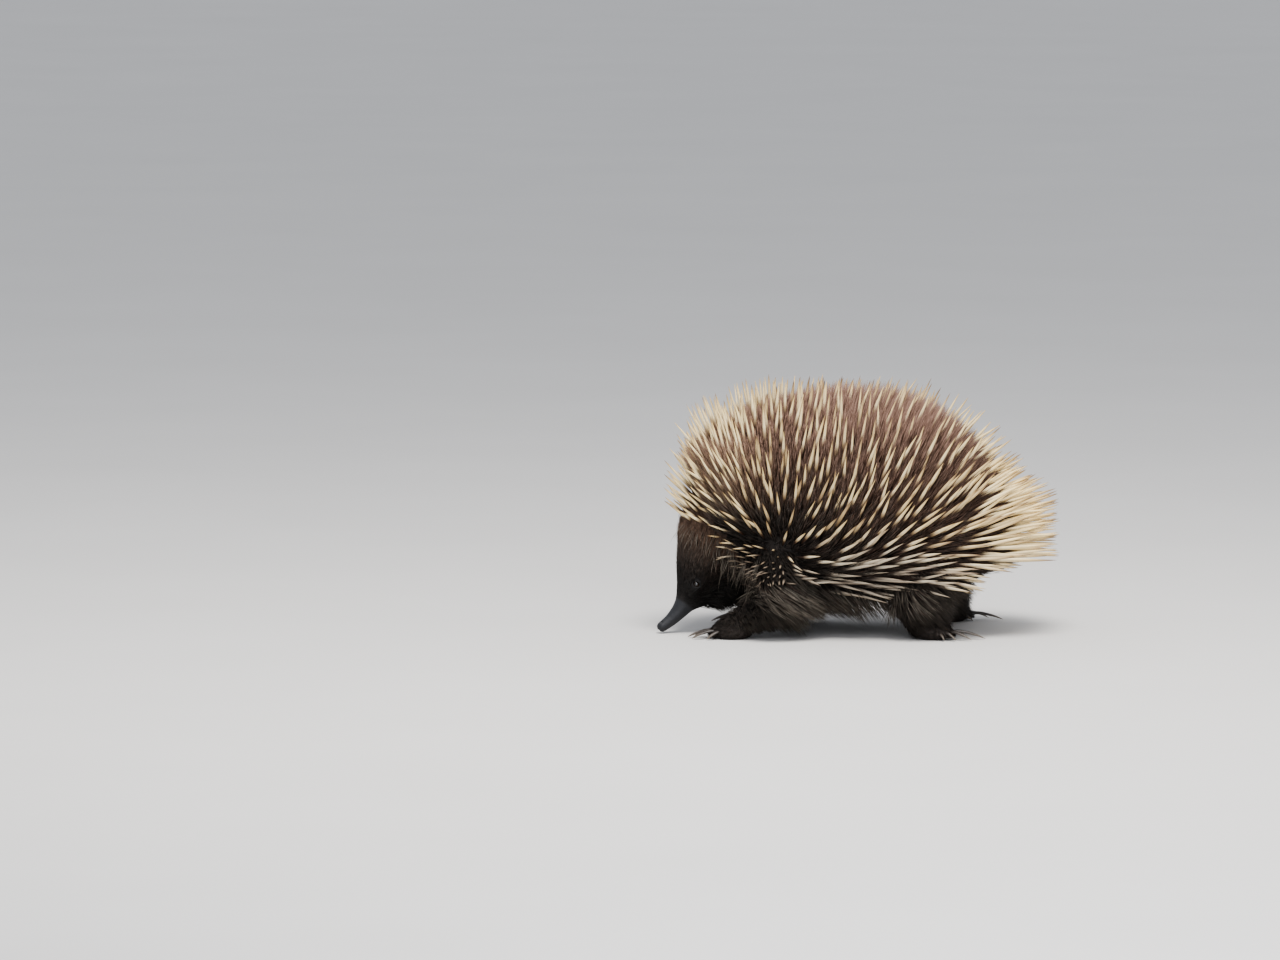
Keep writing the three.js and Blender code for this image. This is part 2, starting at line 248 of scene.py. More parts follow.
# ------------------------------------------------------------------ the shapes that make up the skin
t_head = np.linspace(0.045, 0.93, 46)
head_shape = chain(catmull(HEAD_POINTS, t_head), track(SKIN_R, t_head))
throat_shape = chain(turn_head(np.array([[0, -160, 39], [0, -148, 46], [0, -132, 56], [0, -108, 78]], float)), np.array([9.0, 16.5, 23.0, 32.0]))
leg_shapes, foot_shapes, toe_shapes, leg_bones = {}, {}, {}, {}
for name, (sign, joints, heading) in LEGS.items():
    pair = name[:4]
    pts = np.array([(sign * p[0], p[1], p[2]) for p in joints], float)
    t = np.linspace(0, 1, 14)
    leg_bones[name] = catmull(pts, t)
    leg_shapes[name] = chain(leg_bones[name], track(LEG_R[pair], t))
    a = math.radians(sign * -heading)
    axes = [(math.cos(a), math.sin(a), 0), (-math.sin(a), math.cos(a), 0), (0, 0, 1)]
    foot = (joints[3][0], joints[3][1])
    foot_shapes[name] = oval((sign * foot[0], foot[1], 8.3), axes, PALM[pair])
    toe_shapes[name] = []
    for spread, reach, claw, wide, thick in DIGITS[pair]:
        path = catmull(digit_path(sign, foot, heading, spread, 2, reach - 2.2, 7.2, 5.4), np.linspace(0, 1, 7))
        toe_shapes[name].append(chain(path, np.linspace(wide + 1.7, wide + 0.9, 7)))

eyes = {}
for side, sign in (("left", 1), ("right", -1)):
    c, tangent, brow = head_frame(EYE_AT)
    out = sign * HEAD_SIDE * math.cos(EYE_FORWARD) + brow * math.sin(EYE_FORWARD)
    centre = c + out * (SOLID_W[3] - EYE_SUNK)
    up = unit(tangent - out * (tangent @ out))
    eyes[side] = (centre, unit(out), up, np.cross(up, unit(out)))

ears = {}
for side, sign in (("left", 1), ("right", -1)):
    c, tangent, brow = head_frame(EAR_AT)
    place = c + sign * HEAD_SIDE * (track(SKIN_R, EAR_AT)[0] + 0.2)
    ears[side] = (place, sign * HEAD_SIDE, unit(tangent * 0.92 - brow * 0.25), brow)


def build_skin():
    f = body_distance(GX, GY, GZ).astype(np.float32)
    np.clip(f, -40, 60, out=f)
    for shape in leg_shapes.values():
        join(f, shape, 12)
    join(f, throat_shape, 12)
    join(f, head_shape, 14)
    for name in LEGS:
        join(f, foot_shapes[name], 7)
        for toe in toe_shapes[name]:
            join(f, toe, 2.2)
    # cheeks, brows and the soft fold where the beak leaves the face
    for side, sign in (("left", 1), ("right", -1)):
        centre, out, up, along = eyes[side]
        join(f, oval(centre + up * 7.5 - out * 2.2, (up, along, out), (9, 7, 5.2)), 6)
        join(f, oval(centre - up * 6.5 - out * 2.4 - along * 1.0, (up, along, out), (8, 6, 4.6)), 5)
        join(f, oval(centre, (up, along, out), (5.6, 6.2, 5.25)), 4.5)
        carve(f, oval(centre + out * 3.6, (up, along, out), (2.45, 3.25, 3.6)), 0.9)
        # ear: two upright lips with a slit between them
        place, away, rise, brow = ears[side]
        for off, r in ((-2.3, 1.5), (2.5, 1.9)):
            bow = np.array([place + rise * s - brow * (off * (1 - (s / 9.5) ** 2)) + away * 0.5 for s in np.linspace(-7.5, 7.5, 7)])
            join(f, chain(bow, np.full(7, r)), 2.2)
        carve(f, oval(place + away * 1.0, (rise, brow, away), (6.0, 1.35, 3.4)), 1.0)
    # nostrils and the small mouth at the tip of the beak
    c, tangent, brow = head_frame(0.045)
    for sign in (1, -1):
        carve(f, oval(c + brow * 4.6 + HEAD_SIDE * sign * 1.9 + tangent * 1.0, (tangent, brow, HEAD_SIDE), (1.7, 1.3, 0.8)), 0.5)
    carve(f, oval(c - tangent * 4.6 - brow * 1.4, (HEAD_SIDE, brow, tangent), (2.6, 0.75, 1.7)), 0.5)
    # flat where it rests
    ground = np.broadcast_to(0.05 - GZ, f.shape)
    f = np.maximum(f, ground)
    grid = openvdb.FloatGrid(60.0)
    grid.copyFromArray(np.ascontiguousarray(f, np.float32))
    p, q = grid.convertToQuads(isovalue=0.0)
    v = np.stack([np.interp(p[:, i], np.arange(len(a)), a) for i, a in enumerate((AX, AY, AZ))], 1)
    return v, q.astype(np.int64)


def main_shell(v, q):
    """Drops any loose crumb: keeps the largest connected shell."""
    n = len(v)
    label = np.arange(n)
    while True:
        low = label[q].min(1)
        new = label.copy()
        np.minimum.at(new, q.ravel(), np.repeat(low, 4))
        new = new[new]
        if (new == label).all():
            break
        label = new
    keep = label == np.bincount(label).argmax()
    index = np.cumsum(keep) - 1
    return v[keep], index[q[keep[q[:, 0]]]]


def thinned(v, q, keep):
    """The shell as triangles, with fewer of them on the trunk, where the coat hides it."""
    me = bpy.data.meshes.new("shell")
    me.vertices.add(len(v))
    me.vertices.foreach_set("co", v.astype(np.float32).ravel())
    me.loops.add(q.size)
    me.loops.foreach_set("vertex_index", q.astype(np.int32).ravel())
    me.polygons.add(len(q))
    me.polygons.foreach_set("loop_start", np.arange(len(q), dtype=np.int32) * 4)
    me.update(calc_edges=True)
    ob = bpy.data.objects.new("shell", me)
    bpy.context.scene.collection.objects.link(ob)
    trunk = (v[:, 2] > 34) & ((v[:, 1] > -120) | (v[:, 2] > 136))
    group = ob.vertex_groups.new(name="trunk")
    group.add(np.flatnonzero(trunk).tolist(), 1.0, "REPLACE")
    mod = ob.modifiers.new("thin", "DECIMATE")
    mod.ratio = keep / (2 * len(q))
    mod.vertex_group = "trunk"
    ev = ob.evaluated_get(bpy.context.evaluated_depsgraph_get())
    m2 = ev.to_mesh()
    m2.calc_loop_triangles()
    p = np.zeros(len(m2.vertices) * 3, np.float32)
    m2.vertices.foreach_get("co", p)
    t = np.zeros(len(m2.loop_triangles) * 3, np.int32)
    m2.loop_triangles.foreach_get("vertices", t)
    ev.to_mesh_clear()
    bpy.data.objects.remove(ob)
    bpy.data.meshes.remove(me)
    return p.reshape(-1, 3).astype(float), t.reshape(-1, 3).astype(np.int64)


# ------------------------------------------------------------------ mesh making
def make_piece(name, verts, faces, material, attributes=(), uv=None, smooth=True):
    """verts in mm. All faces have as many corners as each other."""
    me = bpy.data.meshes.new(name)
    me.vertices.add(len(verts))
    me.vertices.foreach_set("co", (np.asarray(verts, np.float32) * MM).ravel())
    k = faces.shape[1]
    me.loops.add(faces.size)
    me.loops.foreach_set("vertex_index", faces.astype(np.int32).ravel())
    me.polygons.add(len(faces))
    me.polygons.foreach_set("loop_start", np.arange(len(faces), dtype=np.int32) * k)
    me.update(calc_edges=True)
    for key, values in dict(attributes).items():
        me.attributes.new(key, "FLOAT", "POINT").data.foreach_set("value", np.asarray(values, np.float32))
    if uv is not None:
        me.uv_layers.new(name="OFBake").uv.foreach_set("vector", uv[faces.ravel()].astype(np.float32).ravel())
    if smooth:
        me.shade_smooth()
    me.materials.append(material)
    ob = bpy.data.objects.new(name, me)
    bpy.context.scene.collection.objects.link(ob)
    return ob


def bundle(C, D, N, A, B, sides):
    """Closed tapered tubes. C: centres (n, rings + 1, 3), the last one the tip. D: directions alike. N: the skin's normal at the root.
    A, B: half width and half depth (n, rings). Returns vertices (n, m, 3), the triangles of one tube and each vertex's ring and turn."""
    n, rings = A.shape
    S = unit(np.cross(D[:, :rings], N[:, None, :]))
    U = np.cross(D[:, :rings], S)
    a = np.arange(sides) / sides * 2 * math.pi + math.pi / 2
    V = C[:, :rings, None] + S[:, :, None] * (np.cos(a)[:, None] * A[:, :, None, None]) + U[:, :, None] * (np.sin(a)[:, None] * B[:, :, None, None])
    V = np.concatenate([V.reshape(n, rings * sides, 3), C[:, rings:]], 1)
    tri = []
    for r in range(rings - 1):
        for k in range(sides):
            a0, a1 = r * sides + k, r * sides + (k + 1) % sides
            tri += [(a0, a1, a1 + sides), (a0, a1 + sides, a0 + sides)]
    last = (rings - 1) * sides
    tri += [(last + k, last + (k + 1) % sides, rings * sides) for k in range(sides)]
    tri += [(0, k + 1, k) for k in range(1, sides - 1)]
    ring = np.append(np.repeat(np.arange(rings), sides), rings)
    turn = np.append(np.tile(np.arange(sides) / sides, rings), 0.5)
    return V, np.array(tri), ring, turn


def write_bundle(name, V, tri, ring, turn, along, per, uv_root, material, patch=0.003):
    """per: name -> one value for each tube."""
    n, m = V.shape[:2]
    faces = (tri[None] + (np.arange(n) * m)[:, None, None]).reshape(-1, 3)
    s = along[ring]
    at = {"along": np.tile(s, n)}
    for key, values in per.items():
        at[key] = np.repeat(values, m)
    uv = uv_root[:, None, :] + np.stack([(turn - 0.5) * patch, (s - 0.5 + 0.12 * np.sin(math.pi * turn)) * patch], 1)[None]
    return make_piece(name, V.reshape(-1, 3), faces, material, at, uv.reshape(-1, 2))


# ------------------------------------------------------------------ materials
def new_material(name):
    m = bpy.data.materials.new(name)
    m.use_nodes = True
    return m, m.node_tree.nodes, m.node_tree.links, m.node_tree.nodes["Principled BSDF"]


def attribute(nodes, name):
    n = nodes.new("ShaderNodeAttribute")
    n.attribute_name = name
    return n.outputs["Fac"]


def ramp(nodes, links, source, stops, smooth=True):
    n = nodes.new("ShaderNodeValToRGB")
    n.color_ramp.interpolation = "EASE" if smooth else "LINEAR"
    e = n.color_ramp.elements
    while len(e) < len(stops):
        e.new(0.5)
    for el, (p, c) in zip(e, stops):
        el.position = p
        el.color = (*c, 1)
    links.new(source, n.inputs["Fac"])
    return n.outputs["Color"]


def mix(nodes, links, factor, a, b, kind="MIX"):
    n = nodes.new("ShaderNodeMix")
    n.data_type = "RGBA"
    n.blend_type = kind
    for i, v in ((0, factor), (6, a), (7, b)):
        if isinstance(v, (int, float)):
            n.inputs[i].default_value = v
        elif isinstance(v, tuple):
            n.inputs[i].default_value = (*v, 1)
        else:
            links.new(v, n.inputs[i])
    return n.outputs[2]


def maths(nodes, links, kind, a, b=0.0, clamp=False):
    n = nodes.new("ShaderNodeMath")
    n.operation = kind
    n.use_clamp = clamp
    for i, v in enumerate((a, b)):
        if isinstance(v, (int, float)):
            n.inputs[i].default_value = v
        else:
            links.new(v, n.inputs[i])
    return n.outputs[0]


def noise(nodes, links, scale, detail=3.0, rough=0.55, stretch=None):
    t = nodes.new("ShaderNodeTexNoise")
    t.inputs["Scale"].default_value = scale
    t.inputs["Detail"].default_value = detail
    t.inputs["Roughness"].default_value = rough
    c = nodes.new("ShaderNodeTexCoord")
    if stretch:
        m = nodes.new("ShaderNodeMapping")
        m.inputs["Scale"].default_value = stretch
        links.new(c.outputs["Object"], m.inputs["Vector"])
        links.new(m.outputs["Vector"], t.inputs["Vector"])
    else:
        links.new(c.outputs["Object"], t.inputs["Vector"])
    return t.outputs["Fac"]


# colours along the hair's tone: 0 black of the face, 1 red-brown of the back; the tone also carries painted light from
# above and painted shade underneath
HAIR_ROOT = [(0.0, (0.004, 0.0035, 0.0035)), (0.3, (0.012, 0.008, 0.007)), (0.6, (0.038, 0.020, 0.014)), (1.0, (0.110, 0.056, 0.036))]
HAIR_TIP = [(0.0, (0.011, 0.010, 0.009)), (0.3, (0.040, 0.029, 0.022)), (0.6, (0.112, 0.065, 0.047)), (1.0, (0.285, 0.175, 0.132))]
GREY = (0.32, 0.290, 0.235)
STRAW = (0.37, 0.262, 0.175)


def fur_material():
    m, nodes, links, b = new_material("echidna_fur")
    tone, along, rnd, grey = (attribute(nodes, k) for k in ("tone", "along", "rnd", "grey"))
    vary = maths(nodes, links, "MULTIPLY_ADD", maths(nodes, links, "SUBTRACT", rnd, 0.5), 0.34)
    vary.node.inputs[2].default_value = 0.0
    tone2 = maths(nodes, links, "ADD", tone, vary, clamp=True)
    root = ramp(nodes, links, tone2, HAIR_ROOT)
    tip = ramp(nodes, links, tone2, HAIR_TIP)
    base = mix(nodes, links, along, root, tip)
    pale = maths(nodes, links, "MULTIPLY", grey, maths(nodes, links, "ADD", maths(nodes, links, "MULTIPLY", along, 0.75), 0.25), clamp=True)
    base = mix(nodes, links, pale, base, ramp(nodes, links, tone, [(0.0, GREY), (0.3, GREY), (0.6, STRAW), (1.0, STRAW)]))
    links.new(base, b.inputs["Base Color"])
    b.inputs["Roughness"].default_value = 0.62
    b.inputs["Specular IOR Level"].default_value = 0.35
    return m


def spine_material():
    m, nodes, links, b = new_material("echidna_spine")
    along, rnd, shade = attribute(nodes, "along"), attribute(nodes, "rnd"), attribute(nodes, "shade")
    place = maths(nodes, links, "POWER", along, attribute(nodes, "early"))
    place = maths(nodes, links, "ADD", place, maths(nodes, links, "MULTIPLY", maths(nodes, links, "SUBTRACT", rnd, 0.5), 0.14), clamp=True)
    light = ramp(nodes, links, place, [(0.0, (0.030, 0.015, 0.009)), (0.30, (0.075, 0.040, 0.024)), (0.43, (0.46, 0.35, 0.21)), (0.55, (0.90, 0.775, 0.50)), (0.80, (0.86, 0.675, 0.355)), (0.93, (0.56, 0.40, 0.19)), (1.0, (0.28, 0.18, 0.09))], False)
    dull = ramp(nodes, links, place, [(0.0, (0.022, 0.012, 0.008)), (0.34, (0.06, 0.034, 0.020)), (0.52, (0.33, 0.235, 0.135)), (0.72, (0.60, 0.455, 0.25)), (0.88, (0.41, 0.28, 0.15)), (1.0, (0.12, 0.07, 0.04))], False)
    pick = ramp(nodes, links, rnd, [(0.0, (0, 0, 0)), (0.55, (0.12, 0.12, 0.12)), (1.0, (0.95, 0.95, 0.95))])
    # painted sunlight: the pale attribute leaves fewer dull spines and brightens the rest
    pale = attribute(nodes, "pale")
    pick = maths(nodes, links, "MULTIPLY", pick, maths(nodes, links, "SUBTRACT", 1.0, maths(nodes, links, "MULTIPLY", pale, 0.65)))
    base = mix(nodes, links, pick, light, dull)
    # painted shade: the shade attribute mixes a spine towards a darker, duller colour
    base = mix(nodes, links, shade, base, mix(nodes, links, 1.0, dull, (0.42, 0.36, 0.30), "MULTIPLY"))
    streak = noise(nodes, links, 900, 2.0)
    base = mix(nodes, links, maths(nodes, links, "MULTIPLY", streak, 0.30), base, mix(nodes, links, 1.0, base, (0.62, 0.50, 0.38), "MULTIPLY"))
    # painted sunlight: brighter spines where pale
    base = mix(nodes, links, pale, base, mix(nodes, links, 1.0, base, (1.11, 1.14, 1.17), "MULTIPLY"))
    # painted shade: the low flank's spines are greyed, less coloured, as in shade
    painted_shade_grey = nodes.new("ShaderNodeHueSaturation")
    links.new(maths(nodes, links, "SUBTRACT", 1.0, maths(nodes, links, "MULTIPLY", attribute(nodes, "painted_shade_grey"), 0.42)), painted_shade_grey.inputs["Saturation"])
    links.new(base, painted_shade_grey.inputs["Color"])
    links.new(painted_shade_grey.outputs["Color"], b.inputs["Base Color"])
    b.inputs["Roughness"].default_value = 0.40
    b.inputs["Specular IOR Level"].default_value = 0.45
    bump = nodes.new("ShaderNodeBump")
    bump.inputs["Strength"].default_value = 0.15
    bump.inputs["Distance"].default_value = 0.0003
    links.new(streak, bump.inputs["Height"])
    links.new(bump.outputs["Normal"], b.inputs["Normal"])
    return m


def skin_material():
    m, nodes, links, b = new_material("echidna_skin")
    tone, bare, foot = (attribute(nodes, k) for k in ("tone", "bare", "foot"))
    fine, coarse = noise(nodes, links, 1400, 4.0, 0.6), noise(nodes, links, 160, 3.0)
    tone2 = maths(nodes, links, "ADD", tone, maths(nodes, links, "MULTIPLY", maths(nodes, links, "SUBTRACT", coarse, 0.5), 0.35), clamp=True)
    hide = mix(nodes, links, maths(nodes, links, "MULTIPLY", fine, 0.7), ramp(nodes, links, tone2, HAIR_ROOT), ramp(nodes, links, tone2, HAIR_TIP))
    beak = mix(nodes, links, coarse, (0.008, 0.009, 0.011), (0.021, 0.0225, 0.026))
    beak = mix(nodes, links, maths(nodes, links, "MULTIPLY", fine, 0.4), beak, (0.040, 0.040, 0.043))
    sole = mix(nodes, links, coarse, (0.020, 0.016, 0.014), (0.060, 0.047, 0.040))
    base = mix(nodes, links, bare, mix(nodes, links, foot, hide, sole), beak)
    links.new(base, b.inputs["Base Color"])
    rough = maths(nodes, links, "ADD", maths(nodes, links, "MULTIPLY", fine, 0.16), maths(nodes, links, "SUBTRACT", 0.66, maths(nodes, links, "MULTIPLY", bare, 0.24)))
    links.new(rough, b.inputs["Roughness"])
    b.inputs["Specular IOR Level"].default_value = 0.4
    # short hair reads as streaks down the leg and body, the beak has fine cross wrinkles and pits
    streak = noise(nodes, links, 700, 3.0, 0.6, (1.0, 1.0, 0.25))
    ring = noise(nodes, links, 520, 3.0, 0.6, (0.35, 0.8, 1.6))
    height = nodes.new("ShaderNodeMix")
    height.data_type = "FLOAT"
    links.new(bare, height.inputs[0])
    links.new(maths(nodes, links, "ADD", streak, maths(nodes, links, "MULTIPLY", fine, 0.5)), height.inputs[2])
    links.new(maths(nodes, links, "ADD", maths(nodes, links, "MULTIPLY", ring, 0.8), maths(nodes, links, "MULTIPLY", fine, 0.35)), height.inputs[3])
    bump = nodes.new("ShaderNodeBump")
    bump.inputs["Strength"].default_value = 0.55
    bump.inputs["Distance"].default_value = 0.0007
    links.new(height.outputs[0], bump.inputs["Height"])
    links.new(bump.outputs["Normal"], b.inputs["Normal"])
    return m


def claw_material():
    m, nodes, links, b = new_material("echidna_claw")
    along, rnd = attribute(nodes, "along"), attribute(nodes, "rnd")
    grain = noise(nodes, links, 1100, 3.0, 0.6)
    place = maths(nodes, links, "ADD", along, maths(nodes, links, "MULTIPLY", maths(nodes, links, "SUBTRACT", grain, 0.5), 0.3), clamp=True)
    base = ramp(nodes, links, place, [(0.0, (0.018, 0.015, 0.013)), (0.45, (0.040, 0.033, 0.028)), (0.85, (0.105, 0.086, 0.068)), (1.0, (0.20, 0.165, 0.125))])
    links.new(base, b.inputs["Base Color"])
    b.inputs["Roughness"].default_value = 0.38
    b.inputs["Specular IOR Level"].default_value = 0.5
    bump = nodes.new("ShaderNodeBump")
    bump.inputs["Strength"].default_value = 0.4
    bump.inputs["Distance"].default_value = 0.0004
    links.new(grain, bump.inputs["Height"])
    links.new(bump.outputs["Normal"], b.inputs["Normal"])
    return m


def eye_material():
    m, nodes, links, b = new_material("echidna_eye")
    iris = attribute(nodes, "iris")
    base = ramp(nodes, links, iris, [(0.0, (0.002, 0.002, 0.002)), (0.42, (0.003, 0.002, 0.002)), (0.5, (0.022, 0.012, 0.007)), (0.8, (0.030, 0.017, 0.010)), (0.9, (0.006, 0.004, 0.004)), (1.0, (0.05, 0.04, 0.038))])
    links.new(base, b.inputs["Base Color"])
    b.inputs["Roughness"].default_value = 0.06
    b.inputs["Specular IOR Level"].default_value = 0.6
    b.inputs["Coat Weight"].default_value = 0.6
    b.inputs["Coat Roughness"].default_value = 0.03
    return m


# ------------------------------------------------------------------ the skin
SKIN_V, SKIN_T = thinned(*main_shell(*build_skin()), 188000)


def near_head(P):
    """Share of the head's curve nearest to each place, and the distance past the head's skin there."""
    t, d = np.zeros(len(P)), np.zeros(len(P))
    r = track(SKIN_R, T_FINE)
    for i in range(0, len(P), 20000):
        g = np.linalg.norm(P[i:i + 20000, None] - HEAD_FINE[None], axis=2) - r
        k = g.argmin(1)
        t[i:i + 20000], d[i:i + 20000] = T_FINE[k], g[np.arange(len(k)), k]
    return t, d


def zones(P):
    """How far each place belongs to each part of the body."""
    x, y, z = P.T
    t, d_head = near_head(P)
    d = {"body": body_distance(x, y, z), "head": d_head, "throat": throat_shape[0](x, y, z)}
    for name in LEGS:
        d[name] = leg_shapes[name][0](x, y, z)
        d["foot_" + name] = np.minimum(foot_shapes[name][0](x, y, z), np.min([toe[0](x, y, z) for toe in toe_shapes[name]], 0))
    face = (np.interp(z, EDGE_Z, EDGE_Y) - y) * 0.8      # over 0 on the face's side of the spines' edge
    stack = np.array([np.clip(v, -30, 60) for v in d.values()])
    w = np.exp(-(stack - stack.min(0)) / 2.5)
    w /= w.sum(0)
    out = dict(zip(d, w))
    out["t"], out["face"] = t, face
    out["leg"] = sum(out[n] for n in LEGS)
    out["foot"] = sum(out["foot_" + n] for n in LEGS)
    out["whorl"] = np.hypot((y - DARK_Y) * np.where(y > DARK_Y, 1.4, 1.0), z - DARK_Z)
    return out


def hair_tone_light_and_shade(P, N, Z):
    """0 black of the face and legs, 1 red-brown of the back; lighter higher up, partly painted light, and darker where
    the skin faces down, painted shade.
    """
    x, y, z = P.T
    # higher up the fur is lighter: partly the back's own red-brown, partly painted light from above
    back = 0.37 + 0.52 * step(94, 226, z) + 0.10 * step(-60, 60, y)
    back += 0.16 * step(-100, -135, y) * step(140, 175, z)
    back -= 0.22 * (1 - step(10, 75, Z["whorl"]))
    back += 0.17 * step(-70, -120, y) * step(96, 136, z) + 0.05 * step(100, 60, z) * step(-60, -20, y)
    # painted shade: the fur is darker where the skin faces down
    back -= 0.16 * step(0.15, -0.6, N[:, 2])
    face = 0.08 + 0.58 * step(0.47, 0.80, Z["t"])
    face_share = np.clip(np.maximum(Z["head"], step(-6, 4, Z["face"]) * (1 - Z["leg"])), 0, 1)
    tone = back * (1 - face_share) + face * face_share
    tone = tone * (1 - Z["throat"]) + 0.05 * Z["throat"]
    leg = 0.22
    share = np.clip(Z["leg"] + Z["foot"], 0, 1)
    tone = tone * (1 - share) + leg * share
    return np.clip(tone, 0, 1)


def way_of(P, N, Z, spine=False):
    """The lie of the coat: the way that hair and spines sweep, before they are lifted off the skin."""
    x, y, z = P.T
    near = np.exp(-((y - WHORL_Y) / np.where(y < WHORL_Y, 60, 40)) ** 2 - ((z - WHORL_Z) / 42) ** 2)
    dy, dz = y - WHORL_Y + 10 * (1 - near), z - WHORL_Z + 32 * (1 - near)
    # towards the cheek they lie nearly level
    cheek = step(-88, -106, y) * step(-152, -124, y) * step(130, 100, z)
    dz = np.where(dz < 0, dz * (0.45 - 0.15 * step(-84, -60, y)), dz * (1 - 0.5 * cheek))
    # the sweep bends upwards over the middle of the back, and sinks along the rump's lower edge
    foot_of_bend = np.interp(y, [-40, 20, 60, 110], [40, 55, 80, 85])
    rear_end = 128 - 26 * step(140, 190, z)
    a = 27 * step(-82, -8, y) * step(rear_end, rear_end - 46, y) * step(foot_of_bend, foot_of_bend + 45, z)
    a *= 1 - 0.62 * step(178, 212, z)
    a = np.radians(a - 13 * step(30, 90, y) * step(100, 66, z))
    R = unit(np.stack([0.22 * x, dy * np.cos(a) - dz * np.sin(a), dy * np.sin(a) + dz * np.cos(a)], 1))
    # below the whorl they lie level, towards the rump
    level = (step(64, 52, z) * step(-124, -112, y) * step(40, 0, y))[:, None]
    R = unit(R * (1 - level) + np.stack([0.004 * x, np.full(len(x), 1.0), np.full(len(x), -0.10)], 1) * level)
    if spine:
        return R
    under = step(-0.35, -0.8, N[:, 2])[:, None]
    R = unit(R * (1 - under) + np.array([0, 0.95, -0.1]) * under)
    k = (Z["t"] * 240).astype(int).clip(2, 238)
    up_head = unit(HEAD_FINE[k + 2] - HEAD_FINE[k - 2])
    on_face = np.clip(np.maximum(Z["head"], step(-8, 6, Z["face"]) * (1 - Z["leg"] - Z["foot"])), 0, 1)[:, None]
    R = unit(R * (1 - on_face) + up_head * on_face)
    w = Z["throat"][:, None]
    R = unit(R * (1 - w) + np.array([0, 0.75, -0.65]) * w)
    w = np.clip(Z["leg"], 0, 1)[:, None]
    R = unit(R * (1 - w) + np.array([0, 0.62, -0.78]) * w)
    w = Z["foot"][:, None]
    if w.max() > 0.01:
        F = np.zeros_like(P)
        for name, (sign, joints, heading) in LEGS.items():
            a = math.radians(heading)
            F += Z["foot_" + name][:, None] * np.array([sign * math.sin(a), math.cos(a), -0.35])
        R = unit(R * (1 - w) + F)
    return R


def lifted(N, R, most):
    """N tipped towards R, by the angle between them or by most degrees, whichever is less."""
    c = np.clip(dot(N, R), -1, 1)
    T = unit(R - N * c[:, None])
    a = np.minimum(np.arccos(c), np.radians(most))
    return N * np.cos(a)[:, None] + T * np.sin(a)[:, None]


def inside(P, D, length, pad=1.0):
    """How much of each length stays within the model's box."""
    lo, hi = np.array(CAD_LOW) / MM + pad, np.array(CAD_HIGH) / MM - pad
    tip = D * length[:, None]
    room = np.where(tip > 0, (hi - P) / np.maximum(tip, 1e-6), (lo - P) / np.minimum(tip, -1e-6))[:, :2].min(1)
    room = np.minimum(room, np.where(tip[:, 2] > 0, (hi[2] - P[:, 2]) / np.maximum(tip[:, 2], 1e-6), 9))
    return np.clip(room, 0.3, 1)


def jitter(D, degrees):
    k = rng.normal(0, 1, D.shape) * np.tan(np.radians(degrees))[..., None] if np.ndim(degrees) else rng.normal(0, 1, D.shape) * math.tan(math.radians(degrees))
    return unit(D + k - D * dot(D, k)[:, None])


MATERIALS = {"fur": fur_material(), "spine": spine_material(), "skin": skin_material(), "claw": claw_material(), "eye": eye_material()}

skin_Z = zones(SKIN_V)
tri = SKIN_T
cross = np.cross(SKIN_V[tri[:, 1]] - SKIN_V[tri[:, 0]], SKIN_V[tri[:, 2]] - SKIN_V[tri[:, 0]])
SKIN_N = np.zeros_like(SKIN_V)
for i in range(3):
    np.add.at(SKIN_N, tri[:, i], cross)
SKIN_N = unit(SKIN_N)
bare = step(HAIR_LINE + 0.035, HAIR_LINE - 0.01, skin_Z["t"]) * step(0.3, 0.7, skin_Z["head"])
lids = np.zeros(len(SKIN_V))
for centre, out, up, along in eyes.values():
    lids = np.maximum(lids, step(9.0, 6.5, np.linalg.norm(SKIN_V - centre - out * 2, axis=1)))
for place, away, rise, brow in ears.values():
    q = SKIN_V - place
    lids = np.maximum(lids, step(6.0, 3.6, np.hypot(q @ rise / 1.9, q @ brow)) * (np.abs(q @ away) < 8))
skin = make_piece(
    "echidna_skin", SKIN_V, SKIN_T, MATERIALS["skin"],
    {"tone": hair_tone_light_and_shade(SKIN_V, SKIN_N, skin_Z) * 0.9 * (1 - lids), "bare": bare, "foot": np.clip(skin_Z["foot"], 0, 1)},
)
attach(skin, "root")
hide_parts("trunk", "neck", "tail", "head", "beak", "ear_left", "ear_right", *LEGS, "forefoot_left", "forefoot_right", "hindfoot_left", "hindfoot_right")

# ------------------------------------------------------------------ roots on the skin
TRI_AREA = np.linalg.norm(cross, axis=1) / 2
TRI_C = SKIN_V[tri].mean(1)
TRI_N = unit(cross)
TRI_Z = zones(TRI_C)


def scatter(count, density):
    w = TRI_AREA * density
    pick = rng.choice(len(tri), count, p=w / w.sum())
    a, b = rng.random((2, count))
    flip = a + b > 1
    a[flip], b[flip] = 1 - a[flip], 1 - b[flip]
    c = 1 - a - b
    corner = tri[pick]
    bary = np.stack([c, a, b], 1)[:, :, None]
    return (SKIN_V[corner] * bary).sum(1), unit((SKIN_N[corner] * bary).sum(1))


def away_from_holes(P):
    """Keeps hair off the eyes, the lids and the ear slits."""
    ok = np.ones(len(P), bool)
    for centre, out, up, along in eyes.values():
        q = P - centre
        ok &= (np.hypot((q @ up + 2.4) / 1.45, q @ along) > 4.3) | (np.abs(q @ out) > 12)
    for place, away, rise, brow in ears.values():
        q = P - place
        ok &= (np.hypot(q @ rise / 2.6, q @ brow) > 2.2) | (np.abs(q @ away) > 9)
    return ok


def unwrap(P, Z):
    """A place on an unwrap round the trunk and along it."""
    x, y, z = P.T
    uv = np.stack([np.arctan2(x, z - 112) / (2 * math.pi) + 0.5, (y + 155) / 296], 1)
    return np.clip(uv, 0, 1)


